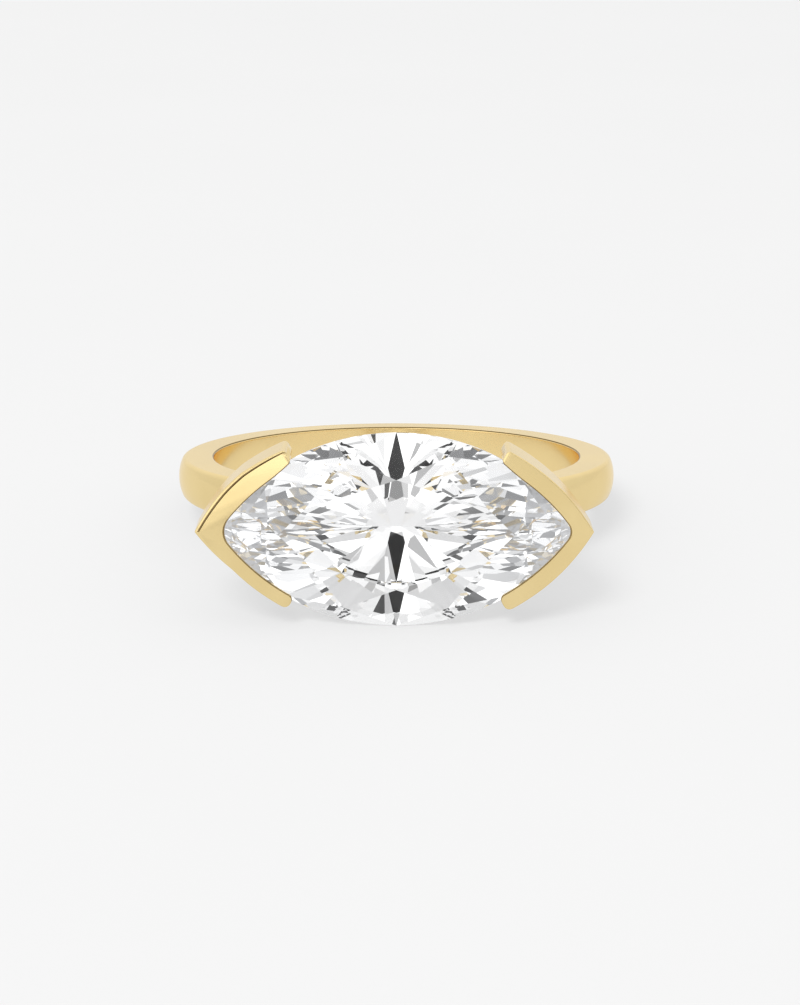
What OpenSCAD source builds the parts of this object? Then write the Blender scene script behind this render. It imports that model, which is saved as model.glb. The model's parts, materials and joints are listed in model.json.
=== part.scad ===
// Marquise ring: a plain polished gold band with one large marquise stone set lengthwise
// across the finger, held at its two tips by V-shaped end caps.
// The ring lies on its side as it rests on a table: +Z is up, the stone faces -Y and the
// floor is Z = 0. It touches the floor with the stone's lower edge and the back of the band.
// Two nodes: the gold mount (band, legs and end caps, cast as one solid) and the stone.
// All sizes are in mm and all angles in degrees.

/* [Band] */
// Radius of the finger hole
finger_r = 8.4; // [8.3:0.05:8.4]
// Thickness of the band, from the finger hole to its outer face
band_t = 1.6; // [1.5:0.05:1.6]
// Width of the band along the finger, behind the stone
band_w_front = 1.9; // [1.8:0.05:2.1]
// Width of the band along the finger, opposite the stone
band_w_rear = 1.6; // [1.45:0.05:1.7]
// Radius of the band's domed outer face, across its width
dome_r = 2.4; // [2.2:0.1:2.8]

/* [Stone outline] */
// Distance from the ring's centre to the middle of the stone's girdle
girdle_z = 13.7; // [13.65:0.05:13.9]
// Width of the stone, across its long axis
stone_w = 8.16; // [8.1:0.02:8.24]
// Radius of the two long arcs of the stone's outline
side_r = 9.2; // [9.1:0.05:9.3]
// Rounding of the outline's two tips
tip_r = 0.75; // [0.7:0.05:0.8]
// Thickness of the girdle where two facets meet on it
girdle_t = 0.26; // [0.26:0.02:0.3]

/* [Stone facets] */
// Height of the crown, from the girdle to the table
crown_h = 1.15; // [1.1:0.05:1.2]
// Depth of the pavilion, from the girdle to the keel's lowest part
pavilion_h = 3.5; // [3.42:0.02:3.5]
// Slope of the two crown mains at the tips
tip_slope = 24; // [23:0.5:25]
// Slope of the four crown mains between tip and side
quarter_slope = 31; // [30:0.5:32]
// Slope of the two crown mains on the long sides
side_slope = 33; // [32:0.5:34]
// Height on the crown at which star facets and mains meet, as a share of the crown
star_share = 0.5; // [0.45:0.01:0.55]
// Share of the way from girdle to keel at which the lower halves end
lower_share = 0.8; // [0.74:0.01:0.84]

/* [End caps] */
// Width of gold outside the stone's outline, seen from the front
cap_wall = 0.48; // [0.44:0.01:0.52]
// Width of gold that reaches over the stone's edge
cap_lip = 0.22; // [0.2:0.01:0.24]
// Distance from the middle of the girdle to the caps' front face
cap_front = 0.6; // [0.6:0.01:0.66]
// Depth of the caps' walls, from front face to back edge
cap_depth = 2.8; // [2.6:0.05:2.9]
// Angle at which each arm ends, about the centre of its arc, from the stone's width line
arm_end = 28.4; // [28:0.2:30]
// Gap between stone and gold
seat_gap = 0.04; // [0.03:0.01:0.06]

/* [Legs] */
// Half of a leg's width along the finger
leg_half = 0.6; // [0.55:0.01:0.65]
// Distance of a leg's inner side from the middle of the ring, at the band
leg_in = 5.7; // [5.6:0.05:5.8]
// Distance of a leg's outer side from the middle of the ring, at the band
leg_out = 7.1; // [7.0:0.05:7.2]
// Distance of the inner side at the back of the end cap, where the leg widens
leg_flare_in = 5.3; // [5.2:0.05:5.4]

/* [Hidden] */
$fn = 96;

band_r = finger_r + band_t;
half_front = band_w_front / 2;
half_rear = band_w_rear / 2;
edge_spare = 0.02;            // how far the band's plain profile stands above its cut sides
taper = atan2(half_front - half_rear, 2 * band_r);

half_w = stone_w / 2;
arc_offset = side_r - half_w; // how far an arc's centre lies beyond the long axis
tip_x = sqrt(pow(side_r - tip_r, 2) - pow(arc_offset, 2)); // centre of a tip's rounding
tip_turn = arc_offset / (side_r - tip_r); // sine of the angle where rounding meets arc
half_g = girdle_t / 2;

front_z = girdle_z + cap_front;
back_z = front_z - cap_depth;
groove_front = 0.43;          // the seat groove's reach on either side of the girdle's middle
groove_back = 0.5;
leg_flare_out = 8.4;          // a leg's outer side at the back of the cap, beyond the cap's tip
leg_knee = 1.3;               // how far behind the cap a leg reaches its narrow width
floor_dip = 0.05;             // how far the floor behind the stone's tip lies below back_z
far = 20;                     // longer than any part of the ring

// Resting pose: the stone's lower girdle edge and the band's rear edge touch one plane.
rear_y = band_r - dome_r + sqrt(pow(dome_r, 2) - pow(half_rear, 2));
rear_z = half_rear + (band_r - rear_y) * tan(taper);
girdle_back = girdle_z - half_g;
tilt = atan2(half_w - rear_z, rear_y + girdle_back);
lift = rear_y * sin(tilt) + rear_z * cos(tilt);
table_half = half_w - crown_h / tan(side_slope);
y_low = -(girdle_z + half_g + crown_h) * cos(tilt) - table_half * sin(tilt);
y_high = (band_r - dome_r) * cos(tilt) + dome_r;

// Turning angles around the stone, counted from its +X tip. Each list runs from the tip to
// the long side. In the lists of the crown and the pavilion every other angle, from the
// first on, is that of a main facet, and the ones between are girdle corners.
crown_a = around([0, 42, 59, 74, 90]);
low_a = around([0, 37.5, 40, 44, 48, 53, 59, 66.5, 74, 82, 90]);
girdle_a = around([0, 12.5, 25, 37.5, 40, 42, 44, 48, 53, 56, 59, 63, 66.5, 70, 74, 78,
                   82, 86, 90]);
low_side_slope = atan(pavilion_h / half_w);
crown_slope = mirrored([tip_slope, quarter_slope, side_slope]);
low_slope = mirrored([50, 43, 39.5, 37.3, low_side_slope - 1, low_side_slope]);
mains = len(crown_slope);     // main facets on the crown
low_mains = len(low_slope);   // main facets on the pavilion
turns = len(girdle_a);        // points along each edge of the girdle

// A list from tip to long side, carried on around the whole stone: as angles, and as
// values that repeat.
function around(q) = let (n = len(q) - 1) [for (k = [0:4 * n - 1])
    let (turn = floor(k / n), i = k % n) 90 * turn + (turn % 2 == 0 ? q[i] : 90 - q[n - i])];
function mirrored(q) = let (n = len(q) - 1) [for (k = [0:4 * n - 1])
    floor(k / n) % 2 == 0 ? q[k % n] : q[n - k % n]];

// A point of the stone's outline where its outward normal points along angle a, moved
// outwards by d.
function outline(a, d = 0) = abs(sin(a)) > tip_turn
    ? [(side_r + d) * cos(a), sign(sin(a)) * ((side_r + d) * abs(sin(a)) - arc_offset)]
    : [sign(cos(a)) * tip_x + (tip_r + d) * cos(a), (tip_r + d) * sin(a)];

// The whole outline at a distance d, as a ring of points.
function outline_ring(d) = [for (a = [0:3:357]) outline(a, d)];

// Where two straight lines cross, each given by its normal's angle and its distance.
function meet(a1, d1, a2, d2) = [(d1 * sin(a2) - d2 * sin(a1)), (d2 * cos(a1) - d1 * cos(a2))]
    / sin(a2 - a1);
// Distance from the stone's middle to the outline's tangent line with its normal along a.
function reach(a) = outline(a) * [cos(a), sin(a)];
// Where main facets j and j + 1 meet at a height h from the girdle. a and s are the lists
// of angles and slopes.
function ridge(a, s, j, h) = let (k = (j + 1) % len(s))
    meet(a[2 * j], reach(a[2 * j]) - h / tan(s[j]), a[2 * k], reach(a[2 * k]) - h / tan(s[k]));
function at_height(p, z) = [p[0], p[1], z];
// Height of the plane through a, b and c above or below point p.
function plane_z(a, b, c, p) = let (n = cross(b - a, c - a))
    a[2] - (n[0] * (p[0] - a[0]) + n[1] * (p[1] - a[1])) / n[2];

// Corners of the table, one on each crown main.
table_pts = [for (j = [0:mains - 1])
    let (a = crown_a[2 * j], in = crown_h / tan(crown_slope[j]))
    at_height(outline(a) - in * [cos(a), sin(a)], half_g + crown_h)];
// Where two crown mains and a star facet meet.
star_pts = [for (j = [0:mains - 1]) let (h = star_share * crown_h)
    at_height(ridge(crown_a, crown_slope, j, h), half_g + h)];
// Where two pavilion mains of one long side reach the keel, from tip to tip.
keel_pts = [for (j = [0:low_mains / 2 - 1])
    let (a = low_a[2 * j], b = low_a[2 * j + 2], s = tan(low_slope[j]), t = tan(low_slope[j + 1]),
         x = (reach(a) * s - reach(b) * t) / (cos(a) * s - cos(b) * t))
    [x, 0, -half_g - (reach(a) - x * cos(a)) * s]];
function keel_i(j) = let (k = j % low_mains) k < low_mains / 2 ? k : low_mains - 1 - k;
// Where two pavilion mains and their lower halves meet.
lower_pts = [for (j = [0:low_mains - 1])
    (1 - lower_share) * at_height(ridge(low_a, low_slope, j, 0), -half_g)
    + lower_share * keel_pts[keel_i(j)]];

// Number of the girdle point at angle a.
function girdle_i(a) = len([for (g = girdle_a) if (g < a - 0.01) 1]);
// Girdle points along half facet k of the angles c, as numbers.
function along(c, k) = [for (i = [girdle_i(c[k]):(k + 1 < len(c) ? girdle_i(c[k + 1]) : turns)])
    i % turns];
// One edge of the girdle: side is 1 for the crown's edge and -1 for the pavilion's. Its
// points lie on the planes of the half facets, so the edge is scalloped.
function girdle_edge(side, c, apexes) = [for (g = girdle_a)
    let (k = len([for (a = c) if (a < g + 0.01) 1]) - 1, z = side * half_g)
    at_height(outline(g), abs(g - c[k]) < 0.01 ? z
        : plane_z(apexes[floor(k / 2)], at_height(outline(c[k]), z),
                  at_height(outline(k + 1 < len(c) ? c[k + 1] : 360), z), outline(g)))];

module stone_form() {
    star = mains;             // first number of each further group of points
    lower = star + mains;
    keel = lower + low_mains;
    top = keel + low_mains / 2;
    low = top + turns;
    polyhedron(
        points = concat(table_pts, star_pts, lower_pts, keel_pts,
                        girdle_edge(1, crown_a, star_pts), girdle_edge(-1, low_a, lower_pts)),
        faces = concat(
            [[for (j = [mains - 1:-1:0]) j]],
            [for (j = [0:mains - 1]) [(j + 1) % mains, star + j, j]],
            [for (j = [0:mains - 1]) [star + j, top + girdle_i(crown_a[2 * j]),
                                      star + (j + mains - 1) % mains, j]],
            [for (k = [0:2 * mains - 1]) let (p = along(crown_a, k))
                concat([for (i = [len(p) - 1:-1:0]) top + p[i]], [star + floor(k / 2)])],
            [for (i = [0:turns - 1])
                [top + i, top + (i + 1) % turns, low + (i + 1) % turns, low + i]],
            [for (k = [0:2 * low_mains - 1])
                concat([lower + floor(k / 2)], [for (i = along(low_a, k)) low + i])],
            [for (j = [0:low_mains - 1]) let (i = (j + low_mains - 1) % low_mains)
                concat([keel + keel_i(j)], keel_i(i) == keel_i(j) ? [] : [keel + keel_i(i)],
                       [lower + i, low + girdle_i(low_a[2 * j]), lower + j])]));
}

// Turns a form drawn with the stone's face up to face -Y.
module face_front() {
    rotate([90, 0, 0]) children();
}

// Lays the upright ring down on its side, centred over the origin.
module at_rest() {
    translate([0, -(y_low + y_high) / 2, lift]) rotate([-tilt, 0, 0]) children();
}

module band() {
    half = half_front + edge_spare;
    difference() {
        rotate_extrude() intersection() {
            translate([finger_r, -half]) square([band_t, 2 * half]);
            translate([band_r - dome_r, 0]) circle(r = dome_r);
        }
        // the two flat sides, which close in towards the rear
        for (s = [0, 1]) mirror([0, 0, s])
            translate([0, 0, (half_front + half_rear) / 2]) rotate([-taper, 0, 0])
                translate([-far / 2, -far / 2, 0]) cube([far, far, half_front]);
    }
}

// The end cap at the stone's +X tip with the leg that carries it, stone's face up.
module cap_and_leg() {
    root = band_r / 2;
    widen = tan(arm_end);
    difference() {
        translate([0, 0, root]) linear_extrude(height = front_z - root) intersection() {
            translate([0, -arc_offset]) circle(r = side_r + cap_wall, $fn = 192);
            translate([0, arc_offset]) circle(r = side_r + cap_wall, $fn = 192);
            polygon([[widen * arc_offset, 0], [widen * (arc_offset + half_w * 2), half_w * 2],
                     [far, half_w * 2], [far, -half_w * 2],
                     [widen * (arc_offset + half_w * 2), -half_w * 2]]);
        }
        // the window in front of the stone and the room behind it
        translate([0, 0, back_z - floor_dip])
            linear_extrude(height = far) polygon(outline_ring(-cap_lip));
        // the groove that the stone's edge sits in
        translate([0, 0, girdle_z - groove_back])
            linear_extrude(height = groove_back + groove_front)
                polygon(outline_ring(seat_gap));
        // above and below the leg
        for (s = [0, 1]) mirror([0, s, 0])
            translate([0, leg_half, 0]) cube([far, far, back_z]);
        // beside the leg, towards the middle of the ring and away from it
        rotate([90, 0, 0]) linear_extrude(height = far, center = true) {
            polygon([[0, 0], [leg_in, 0], [leg_in, back_z - leg_knee],
                     [leg_flare_in, back_z], [0, back_z]]);
            polygon([[far, 0], [leg_out, 0], [leg_out, back_z - leg_knee],
                     [leg_flare_out, back_z], [far, back_z]]);
        }
        // the leg ends inside the band
        rotate([90, 0, 0]) cylinder(r = finger_r + band_t / 2, h = far, center = true);
    }
}

module gold_mount() {
    color([0.85, 0.68, 0.36]) at_rest() union() {
        band();
        face_front() for (s = [0, 1]) mirror([s, 0, 0]) cap_and_leg();
    }
}

module marquise_stone() {
    color([0.93, 0.95, 0.97, 0.35]) at_rest()
        face_front() translate([0, 0, girdle_z]) stone_form();
}

gold_mount();
marquise_stone();
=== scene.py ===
import json
import math

import bmesh
import bpy
from mathutils import Matrix, Vector


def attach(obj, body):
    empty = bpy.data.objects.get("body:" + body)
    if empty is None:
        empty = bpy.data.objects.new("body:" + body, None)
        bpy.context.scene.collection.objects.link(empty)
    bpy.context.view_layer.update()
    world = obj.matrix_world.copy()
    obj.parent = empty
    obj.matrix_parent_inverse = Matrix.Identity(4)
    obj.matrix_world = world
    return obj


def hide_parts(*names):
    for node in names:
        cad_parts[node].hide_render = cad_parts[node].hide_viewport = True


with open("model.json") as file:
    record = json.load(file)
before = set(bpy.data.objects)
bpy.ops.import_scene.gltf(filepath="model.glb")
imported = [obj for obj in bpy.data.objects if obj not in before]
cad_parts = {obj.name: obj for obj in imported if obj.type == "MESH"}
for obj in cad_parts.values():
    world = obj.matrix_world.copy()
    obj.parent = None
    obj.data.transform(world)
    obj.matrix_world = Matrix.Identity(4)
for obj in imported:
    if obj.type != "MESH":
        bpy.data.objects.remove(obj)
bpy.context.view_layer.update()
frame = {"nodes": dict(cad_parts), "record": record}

# Sizes in mm, as in the construction. They are measured on the upright ring, which has the
# middle of its finger hole at the origin, the finger along Y and the stone on top, long in X.
FINGER_R = 8.4
BAND_T = 1.6
BAND_R = FINGER_R + BAND_T
HALF_FRONT = 0.95       # half the band's width behind the stone
HALF_REAR = 0.8         # half its width at the rear
DOME_R = 2.4            # crowning of the band's outside, across its width
BAND_EDGE_R = 0.25
BORE_EDGE_R = 0.1

GIRDLE_Z = 13.7
SIDE_R = 9.2            # the stone's long sides are two arcs of this radius
HALF_W = 4.08           # half the stone's width
ARC_OFFSET = SIDE_R - HALF_W

CAP_WALL = 0.48
CAP_LIP = 0.22          # how far a cap reaches over the stone
CAP_MID = (CAP_WALL - CAP_LIP) / 2
FRONT_Z = GIRDLE_Z + 0.6
BACK_Z = FRONT_Z - 2.8
GROOVE = (GIRDLE_Z - 0.5, GIRDLE_Z + 0.43)
SEAT_GAP = 0.04
ARM_END = math.radians(90 - 28.4)
MID_TIP_R = 0.2         # tip rounding in the middle of a cap's wall
OUTER_TIP_R = 0.06      # tip rounding outside
LINE_WALL = 0.7         # width of wall for which the fine line and the outer edge are drawn

LEG_HALF = 0.6
LEG_IN, LEG_OUT = 5.7, 7.1
LEG_FLARE_IN, LEG_FLARE_OUT = 5.3, 8.1
LEG_FLARE_DEEP = 1.6
LEG_TOP = BACK_Z + 0.05
LEG_ROOT_R = 9.2        # the legs end inside the band, this far from the hole's axis
LEG_ROOT_Z = 7.4        # about how high that is
LEG_EDGE_R = 0.14

# Finishes
GOLD_TONES = (0.80, 0.628, 0.309, 1), (0.85, 0.679, 0.350, 1)
# painted reflection of the gold round it, on the finger hole's wall
HOLE_REFLECTION_TONE = (0.91, 0.705, 0.345, 1)
# painted shade along the finger hole's rim
RIM_SHADE_TONE = (0.13, 0.075, 0.02, 1)
# painted shade for fine lines along the stone's seam and along an arm's edge
LINE_SHADE_TONES = (0.26, 0.175, 0.07, 1), (0.36, 0.255, 0.11, 1)
GOLD_TINT = (1.0, 0.94, 0.80, 1)
DIAMOND_INDEX = 2.417
STONE_TONES = (0.9357, 0.9405, 0.95, 1), (0.95, 0.95, 0.95, 1)
# painted shade and a faint painted glow towards the stone's tips
TIP_SHADE_TONE = (0.6304, 0.6336, 0.64, 1)
TIP_GLOW_TONES = (0.02, 0.02, 0.02, 1), (0.97, 0.98, 1.0, 1)
TIP_GLOW_STRENGTH = 0.105
FLOOR_TONES = (0.165, 0.165, 0.165, 1), (0.175, 0.175, 0.175, 1)
FLOOR_GLOW = 0.635

# Studio and camera. Pixels are those of the 800 x 1005 picture.
PANELS = 10.0           # panels to a unit of direction
FRONT = 1.3             # brightness of the tent in front, against the rest
SKY = (0.86, 0.22)      # brightness at the table's height and what is added above
KEY_PLACE, KEY_SIZE, KEY_POWER = (-0.27, -0.68, 0.75), 0.42, 10
PICTURE_H = 1005
FOCAL_PIXELS = 3033.0
SHIFT_PIXELS = (3.6, -29.5)
SENSOR = 36
DISTANCE = 0.140        # from the middle of the finger hole, in metres

# The finger hole's mount gives the resting pose: upright ring, laid down on its side.
hole = frame["record"]["mounts"][0]
tilt = math.atan2(hole["axis"][1], hole["axis"][2])
MILLIMETRE = 0.001
LAID = (Matrix.Translation(hole["pos_m"]) @ Matrix.Rotation(-tilt, 4, "X")
        @ Matrix.Scale(MILLIMETRE, 4))
FACED = LAID @ Matrix.Rotation(math.radians(90), 4, "X")
RISE = tilt + math.radians(9.9)       # the camera's height above the table, as an angle
TOWARDS_CAMERA = Vector((0, -math.cos(RISE), math.sin(RISE)))


# Node helpers
class Value:
    """A node socket that takes part in Python arithmetic by adding Math nodes."""

    def __init__(self, tree, socket):
        self.tree, self.socket = tree, socket

    def _math(self, operation, *operands):
        node = self.tree.add("ShaderNodeMath", {"operation": operation},
                             dict(enumerate(operands)))
        return Value(self.tree, node.outputs[0])

    def __add__(self, o): return self._math("ADD", self, o)
    def __radd__(self, o): return self._math("ADD", o, self)
    def __sub__(self, o): return self._math("SUBTRACT", self, o)
    def __rsub__(self, o): return self._math("SUBTRACT", o, self)
    def __mul__(self, o): return self._math("MULTIPLY", self, o)
    def __truediv__(self, o): return self._math("DIVIDE", self, o)
    def __pow__(self, o): return self._math("POWER", self, o)
    def __abs__(self): return self._math("ABSOLUTE", self)

    def root(self):
        return self._math("SQRT", self)

    def smooth(self, low, high):
        """0 below low, 1 above high, and a smooth step between them."""
        return self.tree.value("ShaderNodeMapRange", {"interpolation_type": "SMOOTHSTEP"},
                               {"Value": self, "From Min": low, "From Max": high}, "Result")


class Tree:
    """Adds nodes to a shader, world or geometry tree."""

    def __init__(self, tree):
        self.tree = tree

    def add(self, kind, settings=None, inputs=None):
        node = self.tree.nodes.new(kind)
        for name, value in (settings or {}).items():
            setattr(node, name, value)
        for name, value in (inputs or {}).items():
            self.set(node.inputs[name], value)
        return node

    def set(self, socket, value):
        if isinstance(value, Value):
            value = value.socket
        if isinstance(value, bpy.types.NodeSocket):
            self.tree.links.new(value, socket)
        else:
            socket.default_value = value

    def value(self, kind, settings=None, inputs=None, output=0):
        return Value(self, self.add(kind, settings, inputs).outputs[output])

    def noise(self, place, scale, detail):
        return self.value("ShaderNodeTexNoise", {},
                          {"Vector": place, "Scale": scale, "Detail": detail})

    def mix(self, factor, a, b):
        """A colour between a and b."""
        return self.value("ShaderNodeMix", {"data_type": "RGBA"},
                          {"Factor": factor, "A": a, "B": b}, 2)

    def vector(self, operation, a, b=None, output="Vector"):
        operands = {0: a} if b is None else {0: a, 1: b}
        return self.value("ShaderNodeVectorMath", {"operation": operation}, operands, output)


def new_material(name):
    """An empty material, its tree and the place on the object in metres."""
    mat = bpy.data.materials.new(name)
    mat.use_nodes = True
    mat.node_tree.nodes.clear()
    t = Tree(mat.node_tree)
    return mat, t, t.add("ShaderNodeTexCoord").outputs["Object"]


def end_in(t, inputs):
    """Ends a material in one Principled shader."""
    shader = t.add("ShaderNodeBsdfPrincipled", {}, inputs)
    t.add("ShaderNodeOutputMaterial", {}, {"Surface": shader.outputs[0]})


# Materials
def polished_gold():
    mat, t, place = new_material("polished_gold")
    cloud = t.noise(place, 260, 3)
    grain = t.noise(place, 2600, 2)
    # fine polishing lines, stretched along the band
    stretched = t.add("ShaderNodeMapping", {}, {"Vector": place, "Scale": (1, 1, 9)}).outputs[0]
    lines = t.noise(stretched, 3200, 3)
    tone = t.mix(cloud.smooth(0.3, 0.7), *GOLD_TONES)
    # the finger hole's wall gets a deeper, brighter colour as a painted reflection of the gold
    # round it, and its rim a fine dark line of painted shade
    from_middle = t.vector("SUBTRACT", place, hole["pos_m"])
    along = t.vector("DOT_PRODUCT", from_middle, hole["axis"], "Value")
    far = t.vector("LENGTH", from_middle, output="Value")
    radius = (far ** 2 - along ** 2).root() * 1000
    in_hole = 1 - radius.smooth(FINGER_R + 0.04, FINGER_R + 0.1)
    tone = t.mix(in_hole, tone, HOLE_REFLECTION_TONE)
    # painted shade: a fine dark band just outside the finger hole's edge
    rim = radius.smooth(FINGER_R + 0.004, FINGER_R + 0.02)
    rim = rim * (1 - radius.smooth(FINGER_R + 0.06, FINGER_R + 0.08)) * 0.95
    tone = t.mix(rim, tone, RIM_SHADE_TONE)
    rough = 0.15 + cloud.smooth(0.35, 0.75) * 0.05 + lines.smooth(0.5, 0.8) * 0.05
    relief = lines * 0.35 + grain * 0.4 + cloud * 0.5
    bump = t.value("ShaderNodeBump", {}, {"Strength": 0.03, "Distance": 0.00002,
                                          "Height": relief})
    end_in(t, {"Base Color": tone, "Metallic": 1.0, "Roughness": rough, "Normal": bump,
               "Specular Tint": GOLD_TINT})
    return mat


def painted_shade_metal():
    """Gold with painted shade, for fine dark lines: along the stone's seam and along an arm's
    edge.
    """
    mat, t, place = new_material("painted_shade_lines")
    cloud = t.noise(place, 900, 2)
    end_in(t, {"Base Color": t.mix(cloud.smooth(0.3, 0.7), *LINE_SHADE_TONES), "Metallic": 1.0,
               "Roughness": 0.25 + cloud * 0.1, "Specular Tint": GOLD_TINT})
    return mat


def cut_stone():
    """Diamond, with painted shade that makes it greyer towards the two tips, and a faint painted
    glow there.
    """
    mat, t, place = new_material("colourless_stone")
    cloud = t.noise(place, 180, 2)
    along = abs(t.value("ShaderNodeSeparateXYZ", {}, {0: place}))
    tipward = along.smooth(0.0015, 0.0065)
    # towards the tips: painted shade in the colour and a painted glow in the emission
    end_in(t, {"Base Color": t.mix(tipward, t.mix(cloud, *STONE_TONES), TIP_SHADE_TONE),
               "Metallic": 0.0, "Roughness": cloud * 0.0006, "IOR": DIAMOND_INDEX,
               "Transmission Weight": 1.0, "Specular Tint": (0.1, 0.1, 0.1, 1),
               "Emission Color": t.mix(tipward, *TIP_GLOW_TONES), "Emission Strength": TIP_GLOW_STRENGTH})
    return mat


def pale_floor():
    """A pale table that glows evenly, so that the ring's shadows on it are faint."""
    mat, t, place = new_material("pale_table")
    end_in(t, {"Base Color": t.mix(t.noise(place, 40, 3), *FLOOR_TONES), "Roughness": 0.6,
               "Specular IOR Level": 0.0, "Emission Color": (1, 1, 1, 1),
               "Emission Strength": FLOOR_GLOW})
    return mat


gold = polished_gold()
shaded_lines_metal = painted_shade_metal()
stone = cut_stone()


# Mesh helpers
def rounded(corners, steps, hold):
    """A closed outline from (x, y, radius) corners: each one is rounded in steps, with a
    point at the distance hold before and after so that the flats between them stay flat."""
    out = []
    n = len(corners)
    for i, (x, y, r) in enumerate(corners):
        if not r:
            out.append((x, y))
            continue
        p = Vector((x, y))
        before = (Vector(corners[i - 1][:2]) - p)
        after = (Vector(corners[(i + 1) % n][:2]) - p)
        d0, d1 = before.normalized(), after.normalized()
        turn = math.acos(max(-1, min(1, d0.dot(d1))))
        cut = r / math.tan(turn / 2)
        centre = p + (d0 + d1).normalized() * (r / math.sin(turn / 2))
        start, end = p + d0 * cut - centre, p + d1 * cut - centre
        sweep = math.pi - turn
        sign = 1 if start.cross(end) > 0 else -1
        out.append(tuple(p + d0 * (cut + hold)))
        for k in range(steps + 1):
            a = sign * sweep * k / steps
            c, s = math.cos(a), math.sin(a)
            out.append((centre.x + start.x * c - start.y * s,
                        centre.y + start.x * s + start.y * c))
        out.append(tuple(p + d1 * (cut + hold)))
    return out


CREASE = math.radians(35)      # an edge that turns by more stays sharp


def finished(name, bm, place, materials):
    """Turns a bmesh into a finished piece that lies in the row frame."""
    bmesh.ops.remove_doubles(bm, verts=bm.verts, dist=1e-5)
    bmesh.ops.recalc_face_normals(bm, faces=bm.faces)
    for f in bm.faces:
        f.smooth = True
    for e in bm.edges:
        e.smooth = len(e.link_faces) == 2 and e.calc_face_angle(0) < CREASE
    mesh = bpy.data.meshes.new(name)
    bm.to_mesh(mesh)
    bm.free()
    mesh.transform(place)
    for material in materials:
        mesh.materials.append(material)
    piece = bpy.data.objects.new(name, mesh)
    bpy.context.scene.collection.objects.link(piece)
    return piece


def loft(bm, rings, dark=lambda row, column: False):
    """Joins rings of equally many points by quads. dark picks the quads that get the gold with
    painted shade.
    """
    rows = [[bm.verts.new(p) for p in ring] for ring in rings]
    n = len(rows[0])
    for row, (a, b) in enumerate(zip(rows, rows[1:])):
        for i in range(n):
            face = bm.faces.new((a[i], a[(i + 1) % n], b[(i + 1) % n], b[i]))
            face.material_index = 1 if dark(row, i) else 0
    bm.faces.new(rows[0][::-1])
    bm.faces.new(rows[-1])


# Band
def band_profile():
    """The band's section behind the stone as a closed curve, x away from the finger."""
    half = BAND_T / 2
    rim = math.asin(HALF_FRONT / DOME_R)
    dome = [(half - DOME_R + DOME_R * math.cos(a), DOME_R * math.sin(a))
            for a in [rim * k / 12 for k in range(-12, 13)]]
    # the dome's points next to its two rounded edges are left out
    points = rounded([(-half, -HALF_FRONT, BORE_EDGE_R), (*dome[0], BAND_EDGE_R)]
                     + [(x, y, 0) for x, y in dome[5:20]]
                     + [(*dome[-1], BAND_EDGE_R), (-half, HALF_FRONT, BORE_EDGE_R)], 8, 0.04)
    curve = bpy.data.curves.new("band_profile", "CURVE")
    curve.dimensions = "2D"
    spline = curve.splines.new("POLY")
    spline.points.add(len(points) - 1)
    for point, (x, y) in zip(spline.points, points):
        point.co = (x, y, 0, 1)
    spline.use_cyclic_u = True
    return curve


def band_tree():
    """Geometry Nodes: sweeps the section round the finger and narrows it to the rear."""
    group = bpy.data.node_groups.new("band_sweep", "GeometryNodeTree")
    face = group.interface
    face.new_socket("Geometry", in_out="OUTPUT", socket_type="NodeSocketGeometry")
    face.new_socket("Geometry", in_out="INPUT", socket_type="NodeSocketGeometry")
    for name in ("Middle radius", "Outer radius", "Rear share"):
        face.new_socket(name, in_out="INPUT", socket_type="NodeSocketFloat")
    face.new_socket("Steps", in_out="INPUT", socket_type="NodeSocketInt")
    face.new_socket("Metal", in_out="INPUT", socket_type="NodeSocketMaterial")
    t = Tree(group)
    given = t.add("NodeGroupInput").outputs
    ring = t.add("GeometryNodeCurvePrimitiveCircle", {"mode": "RADIUS"},
                 {"Resolution": given["Steps"], "Radius": given["Middle radius"]})
    swept = t.add("GeometryNodeCurveToMesh", {}, {"Curve": ring.outputs["Curve"],
                                                  "Profile Curve": given["Geometry"]})
    apart = t.add("ShaderNodeSeparateXYZ", {}, {
        0: t.add("GeometryNodeInputPosition").outputs[0]}).outputs
    back = (Value(t, apart["Y"]) / Value(t, given["Outer radius"]) + 1) * 0.5
    share = 1 - back * (1 - Value(t, given["Rear share"]))
    narrowed = t.add("ShaderNodeCombineXYZ", {}, {
        "X": apart["X"], "Y": apart["Y"], "Z": Value(t, apart["Z"]) * share})
    placed = t.add("GeometryNodeSetPosition", {}, {"Geometry": swept.outputs[0],
                                                   "Position": narrowed.outputs[0]})
    real = t.add("GeometryNodeRealizeInstances", {}, {0: placed.outputs[0]})
    metal = t.add("GeometryNodeSetMaterial", {}, {"Geometry": real.outputs[0],
                                                  "Material": given["Metal"]})
    t.add("NodeGroupOutput", {}, {0: metal.outputs[0]})
    return group


def from_nodes(name, data, group, values):
    """Runs a node tree on some data and returns its result as a plain mesh."""
    source = bpy.data.objects.new(name + "_source", data)
    bpy.context.scene.collection.objects.link(source)
    modifier = source.modifiers.new("nodes", "NODES")
    modifier.node_group = group
    for socket in group.interface.items_tree:
        if socket.in_out == "INPUT" and socket.name in values:
            modifier[socket.identifier] = values[socket.name]
    graph = bpy.context.evaluated_depsgraph_get()
    mesh = bpy.data.meshes.new_from_object(source.evaluated_get(graph))
    bpy.data.objects.remove(source)
    return mesh


def make_band():
    mesh = from_nodes("band", band_profile(), band_tree(), {
        "Middle radius": FINGER_R + BAND_T / 2, "Outer radius": BAND_R,
        "Rear share": HALF_REAR / HALF_FRONT, "Steps": 288, "Metal": gold})
    bm = bmesh.new()
    bm.from_mesh(mesh)
    return finished("band", bm, LAID, [gold])


# End caps
def outline_turn(u, tip):
    """Angle of the outward normal at which the outline u outside the stone's turns into
    its tip's rounding of radius tip."""
    return math.asin(ARC_OFFSET / (SIDE_R + u - tip))


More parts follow.
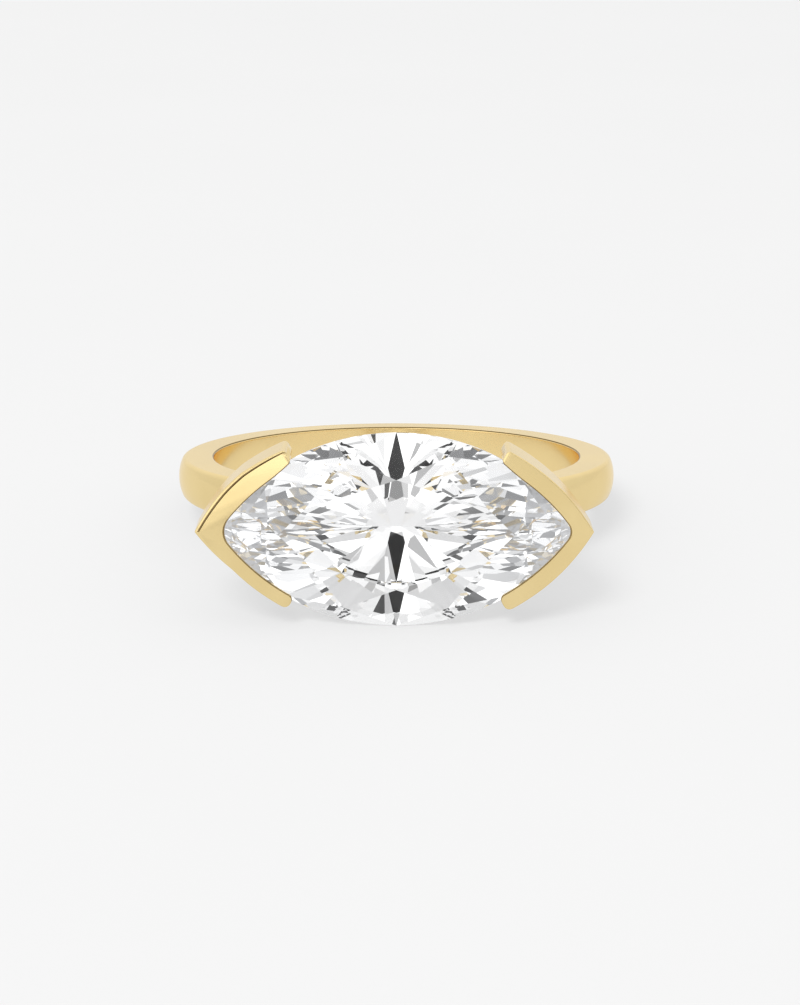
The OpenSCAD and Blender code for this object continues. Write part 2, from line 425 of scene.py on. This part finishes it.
def outline_point(a, u, tip):
    """The point of that outline whose outward normal has the angle a."""
    if a > outline_turn(u, tip):
        return (SIDE_R + u) * math.cos(a), (SIDE_R + u) * math.sin(a) - ARC_OFFSET
    middle = math.sqrt((SIDE_R + u - tip) ** 2 - ARC_OFFSET ** 2)
    return middle + tip * math.cos(a), tip * math.sin(a)


def cap_stations():
    """Places along a cap from the upper arm's end round the tip to the lower arm's end, as
    (part of the arm, part of the tip's rounding, side). They lie closer together at an
    arm's end, which is rounded."""
    arm = [0, 0.004, 0.01, 0.018, 0.028, 0.04] + [0.06 + 0.94 * k / 22 for k in range(23)]
    tip = [k / 8 for k in range(1, 9)]
    upper = [(t, 0, 1) for t in arm] + [(1, s, 1) for s in tip]
    return upper + [(t, s, -side) for t, s, side in upper[-2::-1]]


def cap_corners(inset, lip, high, line):
    """A cap's wall as (u, z, rounding): u counts outwards from the stone's edge. inset
    shrinks the section near an arm's end, high is the wall's outside, and line is the depth
    of the fine line, which runs close to the outer edge."""
    low, high = inset - lip, high - inset
    front, back = FRONT_Z - 0.3 * inset, BACK_Z + 0.3 * inset
    ledge = min(SEAT_GAP, high - 0.1)
    low_r = min(0.035, max((ledge - low) * 0.45, 0.001))
    fine = (high - low) / LINE_WALL
    return [(low, front, low_r), ((low + high) / 2, front, 0),
            (high - 0.135 * fine, front, 0), (high - 0.115 * fine, front - line, 0),
            (high - 0.09 * fine, front - line, 0), (high - 0.075 * fine, front, 0),
            (high, front, 0.05 * fine),
            (high, back, 0.06), (low, back, low_r), (low, GROOVE[0], 0),
            (ledge, GROOVE[0], 0), (ledge, GROOVE[1], 0), (low, GROOVE[1], 0)]


# The quads of these columns get the gold with painted shade: the dark seam along the stone and
# the dark in the fine line.
LIP_EDGE = range(0, 8)         # columns of quads along the lip's rounded inner edge
FINE_LINE = range(10, 13)      # and in the fine line
FOLD_SHARE = 0.25              # how much of each arm's own slant is left at the tip's fold


def arm_width(t, end, middle, tip):
    """How much wider the arm is at the part t of its length."""
    if t < 0.6:
        return end + (middle - end) * min(1, 2.5 * t)
    return middle + (tip - middle) * (t - 0.6) / 0.4


def make_end_cap(name, hand, tip_r, pillow, notch, corner_r, grow, lip_end):
    """hand is 1 for the +X end, and tip_r rounds the tip of the stone's window. The others
    give one value or tuple for the upper arm and one for the lower: the slant and the curve
    by which the front face falls away outwards, the depth of the fine line along its outer
    edge, the rounding of the arm's end, how much wider the arm is at its end, in its middle
    and at the tip, and how much narrower the lip is at the arm's end."""
    bm = bmesh.new()
    rings = []
    for t, s, side in cap_stations():
        k = 0 if side > 0 else 1
        away = t * (SIDE_R + CAP_MID) * (ARM_END - outline_turn(CAP_MID, MID_TIP_R))
        short = max(0.0, corner_r[k] - away)
        inset = corner_r[k] - math.sqrt(corner_r[k] ** 2 - short ** 2)
        # towards the tip's fold the two arms' slants become one
        near, at_fold = max(0, (t - 0.4) / 0.6), max(0, (t - 0.7) / 0.3)
        own = 1 - (1 - FOLD_SHARE) * near * near * (3 - 2 * near)
        other = FOLD_SHARE * at_fold * at_fold
        slant, curve = (pillow[k][i] * own + pillow[1 - k][i] * other for i in (0, 1))
        # the fine line fades out at both ends of the arm
        line = notch[k] * min(1, 6 * t, 12 * (1 - t))
        high = CAP_WALL + arm_width(t, *grow[k])
        lip = CAP_LIP - lip_end[k] * max(0, 1 - t / 0.35) ** 2
        ring = []
        for u, z in rounded(cap_corners(inset, lip, high, line), 6, 0.01):
            outwards = min(1, (u + CAP_LIP) / (CAP_WALL + CAP_LIP))
            tip = tip_r + (OUTER_TIP_R - tip_r) * outwards
            turn = outline_turn(u, tip)
            a = ARM_END + (turn - ARM_END) * t if s == 0 else turn * (1 - s)
            x, y = outline_point(a, u, tip)
            if z > GROOVE[1] + 0.03:
                across = (u + CAP_LIP) / (high + CAP_LIP)
                z -= slant * across + curve * across ** 2
            ring.append((hand * x, side * y, z))
        rings.append(ring)
    upper = len(rings) // 2
    # the lip's inner edge and the fine line get the gold with painted shade
    loft(bm, rings, lambda row, i: i in LIP_EDGE
         or (i in FINE_LINE and notch[0 if row < upper else 1]))
    return finished(name, bm, FACED, [gold, shaded_lines_metal])


# Legs
def make_leg(name, hand):
    """The solid leg behind an end cap's tip, down to the band. It flares out at the cap."""
    u = CAP_WALL - 0.02        # its outside stays just inside the cap's
    bm = bmesh.new()
    rings = []
    steps = 24
    for k in range(steps + 1):
        t = k / steps
        deep = t * (LEG_TOP - LEG_ROOT_Z)
        flare = max(0.0, 1 - deep / LEG_FLARE_DEEP) ** 2
        x_in = LEG_IN - (LEG_IN - LEG_FLARE_IN) * flare
        x_out = LEG_OUT + (LEG_FLARE_OUT - LEG_OUT) * flare
        outline = [(x_in, -LEG_HALF, LEG_EDGE_R)]
        for i in range(-8, 9):
            y = LEG_HALF * i / 8
            a = math.asin((abs(y) + ARC_OFFSET) / (SIDE_R + u))
            x = min(x_out, (SIDE_R + u) * math.cos(a))
            outline.append((x, y, 0.1 if abs(i) == 8 else 0))
        outline.append((x_in, LEG_HALF, LEG_EDGE_R))
        ring = []
        for x, y in rounded(outline, 3, 0.005):
            root = math.sqrt(max(LEG_ROOT_R ** 2 - x * x, 1))
            ring.append((hand * x, y, LEG_TOP + (root - LEG_TOP) * t))
        rings.append(ring)
    loft(bm, rings)
    return finished(name, bm, FACED, [gold])


# The ring. The left cap's upper arm is broader and more pillowed than the right one's, and
# has a fine groove along it, with painted shade in it.
band = make_band()
cap_left = make_end_cap("end_cap_left", -1, tip_r=0.9, pillow=((0.13, 0.05), (0.0, 0.01)),
                        notch=(0.10, 0.0), corner_r=(0.16, 0.27),
                        grow=((0.06, 0.26, 0.15), (-0.12, -0.1, 0.15)), lip_end=(0.18, 0.0))
cap_right = make_end_cap("end_cap_right", 1, tip_r=0.6, pillow=((0.0, 0.01), (0.0, 0.01)),
                         notch=(0.0, 0.0), corner_r=(0.16, 0.27),
                         grow=((0.04, 0.06, 0.0), (0.0, 0.03, 0.0)), lip_end=(0.18, 0.0))
leg_left = make_leg("leg_left", -1)
leg_right = make_leg("leg_right", 1)
for piece in (band, cap_left, cap_right, leg_left, leg_right):
    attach(piece, "root")
    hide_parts("gold_mount")

jewel = frame["nodes"]["marquise_stone"]
jewel.data.materials.clear()
jewel.data.materials.append(stone)

# Table
table = bpy.data.meshes.new("table")
table.from_pydata([(-3, -3, 0), (3, -3, 0), (3, 3, 0), (-3, 3, 0)], [], [(0, 1, 2, 3)])
table.materials.append(pale_floor())
floor = bpy.data.objects.new("table", table)
bpy.context.scene.collection.objects.link(floor)


# Light
def studio():
    """A pale tent, a little brighter above. Its front has small grey and dark panels, which
    the stone's facets pick up one by one, and a narrow dark ring."""
    world = bpy.data.worlds.new("studio")
    world.use_nodes = True
    world.node_tree.nodes.clear()
    t = Tree(world.node_tree)
    way = t.add("ShaderNodeTexCoord").outputs["Generated"]
    apart = t.add("ShaderNodeSeparateXYZ", {}, {0: way}).outputs
    cells = t.add("ShaderNodeTexVoronoi", {}, {"Vector": way, "Scale": PANELS})
    draw = t.value("ShaderNodeSeparateXYZ", {}, {0: cells.outputs["Color"]})
    panel = (1 - draw.smooth(0.22, 0.24) * 0.12 - draw.smooth(0.42, 0.44) * 0.13
             - draw.smooth(0.62, 0.64) * 0.27 - draw.smooth(0.84, 0.86) * 0.42)
    towards = t.vector("DOT_PRODUCT", way, TOWARDS_CAMERA, "Value")
    front = towards.smooth(0.45, 0.7)
    ring = 1 - (towards.smooth(0.9915, 0.9935) - towards.smooth(0.9986, 0.9994)) * 0.98
    glow = SKY[0] + Value(t, apart["Z"]).smooth(-0.1, 0.9) * SKY[1]
    left = t.vector("DOT_PRODUCT", way, (-0.57, -0.76, 0.31), "Value")
    light = (glow * (1 + front * (panel * FRONT - 1))
             + Value(t, apart["Y"]).smooth(0.6, 0.95) * 0.08
             + left.smooth(0.70, 0.95) * 0.47) * ring
    shade = t.add("ShaderNodeBackground", {}, {"Color": (1, 1, 1, 1), "Strength": light})
    t.add("ShaderNodeOutputWorld", {}, {"Surface": shade.outputs[0]})
    bpy.context.scene.world = world


def key_light():
    """A soft lamp above and left of the camera. It lights the table alone, for the shadows."""
    data = bpy.data.lights.new("key_light", "AREA")
    data.shape, data.size, data.energy = "DISK", KEY_SIZE, KEY_POWER
    lamp = bpy.data.objects.new("key_light", data)
    lamp.location = KEY_PLACE
    lamp.rotation_euler = (-Vector(KEY_PLACE)).to_track_quat("-Z", "Y").to_euler()
    lamp.visible_glossy = lamp.visible_transmission = False
    bpy.context.scene.collection.objects.link(lamp)


def photo_camera():
    """The camera looks at the finger hole's middle, 18 degrees down to the table."""
    data = bpy.data.cameras.new("camera")
    data.sensor_width = SENSOR
    data.lens = FOCAL_PIXELS / PICTURE_H * SENSOR
    data.clip_start, data.clip_end = 0.01, 50
    data.shift_x, data.shift_y = SHIFT_PIXELS[0] / PICTURE_H, SHIFT_PIXELS[1] / PICTURE_H
    camera = bpy.data.objects.new("camera", data)
    camera.location = Vector(hole["pos_m"]) + DISTANCE * TOWARDS_CAMERA
    camera.rotation_euler = (math.radians(90) - RISE, 0, 0)
    bpy.context.scene.collection.objects.link(camera)
    bpy.context.scene.camera = camera


studio()
key_light()
photo_camera()
bpy.context.scene.view_settings.view_transform = "Standard"
cycles = bpy.context.scene.cycles
cycles.max_bounces = 24
cycles.transmission_bounces = 24
cycles.glossy_bounces = 8
cycles.caustics_reflective = False
